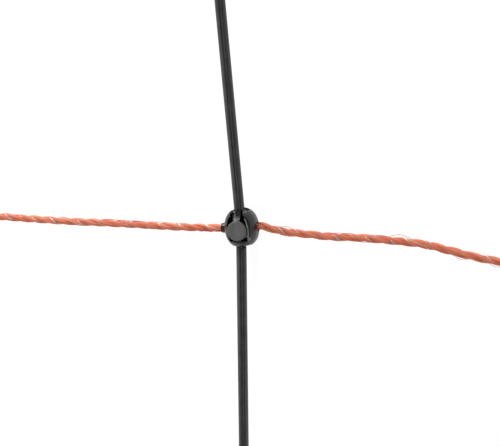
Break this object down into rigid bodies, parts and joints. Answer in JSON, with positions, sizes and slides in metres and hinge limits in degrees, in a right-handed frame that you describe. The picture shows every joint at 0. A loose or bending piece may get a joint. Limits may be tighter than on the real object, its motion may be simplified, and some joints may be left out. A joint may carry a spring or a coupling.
{
  "type": "electric sheep netting section",
  "caption": "Section of electric fence netting: stiff upright struts hinged in ball-shaped knots that are threaded on twisted conductive polywire.",
  "frame": {"origin": "on the flat back of the middle knot, in line with its strut pivot", "axes": "+X along the wires, +Y up the net, +Z out of its face, away from the floor that it lies on"},
  "size_m": [0.3561, 0.3191, 0.0121],
  "materials": {
    "knot_plastic": "moulded, semi-gloss black",
    "cap_plastic": "moulded, satin black, slightly paler than the knot",
    "strut_plastic": "extruded, semi-gloss black with fine lines along it",
    "polywire": "orange twisted plastic strands with fine pale metal conductors"
  },
  "bodies": {
    "bottom_row": {"polywire_bottom": "polywire", "knot_bottom_left": "knot_plastic", "pivot_cap_bottom_left": "cap_plastic", "knot_bottom_centre": "knot_plastic", "pivot_cap_bottom_centre": "cap_plastic", "knot_bottom_right": "knot_plastic", "pivot_cap_bottom_right": "cap_plastic"},
    "middle_row": {"polywire_middle": "polywire", "knot_middle_left": "knot_plastic", "pivot_cap_middle_left": "cap_plastic", "knot_middle_centre": "knot_plastic", "pivot_cap_middle_centre": "cap_plastic", "knot_middle_right": "knot_plastic", "pivot_cap_middle_right": "cap_plastic"},
    "top_row": {"polywire_top": "polywire", "knot_top_left": "knot_plastic", "pivot_cap_top_left": "cap_plastic", "knot_top_centre": "knot_plastic", "pivot_cap_top_centre": "cap_plastic", "knot_top_right": "knot_plastic", "pivot_cap_top_right": "cap_plastic"},
    "lower_strut_left": {"strut_lower_left": "strut_plastic"},
    "lower_strut_centre": {"strut_lower_centre": "strut_plastic"},
    "lower_strut_right": {"strut_lower_right": "strut_plastic"},
    "upper_strut_left": {"strut_upper_left": "strut_plastic"},
    "upper_strut_centre": {"strut_upper_centre": "strut_plastic"},
    "upper_strut_right": {"strut_upper_right": "strut_plastic"}
  },
  "joints": [
    {"name": "lower_left_strut_lean", "type": "hinge", "parent": "bottom_row", "child": "lower_strut_left", "pos_m": [-0.14843, -0.15499, 0.00565], "axis": [0, 0, 1], "range_deg": [-3.1, 16.9]},
    {"name": "lower_struts_lean", "type": "hinge", "parent": "bottom_row", "child": "lower_strut_centre", "pos_m": [0.00157, -0.14999, 0.00565], "axis": [0, 0, 1], "range_deg": [-3.1, 16.9]},
    {"name": "lower_right_strut_lean", "type": "hinge", "parent": "bottom_row", "child": "lower_strut_right", "pos_m": [0.15157, -0.15499, 0.00565], "axis": [0, 0, 1], "range_deg": [-3.1, 16.9]},
    {"name": "middle_row_stays_level", "type": "hinge", "parent": "lower_strut_centre", "child": "middle_row", "pos_m": [0, 0, 0.00565], "axis": [0, 0, 1], "range_deg": [-16.9, 3.1]},
    {"name": "upper_left_strut_lean", "type": "hinge", "parent": "middle_row", "child": "upper_strut_left", "pos_m": [-0.15, -0.005, 0.00565], "axis": [0, 0, 1], "range_deg": [-7.9, 12.1]},
    {"name": "upper_struts_lean", "type": "hinge", "parent": "middle_row", "child": "upper_strut_centre", "pos_m": [0, 0, 0.00565], "axis": [0, 0, 1], "range_deg": [-7.9, 12.1]},
    {"name": "upper_right_strut_lean", "type": "hinge", "parent": "middle_row", "child": "upper_strut_right", "pos_m": [0.15, -0.005, 0.00565], "axis": [0, 0, 1], "range_deg": [-7.9, 12.1]},
    {"name": "top_row_stays_level", "type": "hinge", "parent": "upper_strut_centre", "child": "top_row", "pos_m": [-0.01412, 0.14933, 0.00565], "axis": [0, 0, 1], "range_deg": [-12.1, 7.9]}
  ],
  "couplings": [
    {"joint": "lower_left_strut_lean", "follows": "lower_struts_lean", "ratio": 1},
    {"joint": "lower_right_strut_lean", "follows": "lower_struts_lean", "ratio": 1},
    {"joint": "middle_row_stays_level", "follows": "lower_struts_lean", "ratio": -1},
    {"joint": "upper_left_strut_lean", "follows": "upper_struts_lean", "ratio": 1},
    {"joint": "upper_right_strut_lean", "follows": "upper_struts_lean", "ratio": 1},
    {"joint": "top_row_stays_level", "follows": "upper_struts_lean", "ratio": -1}
  ]
}
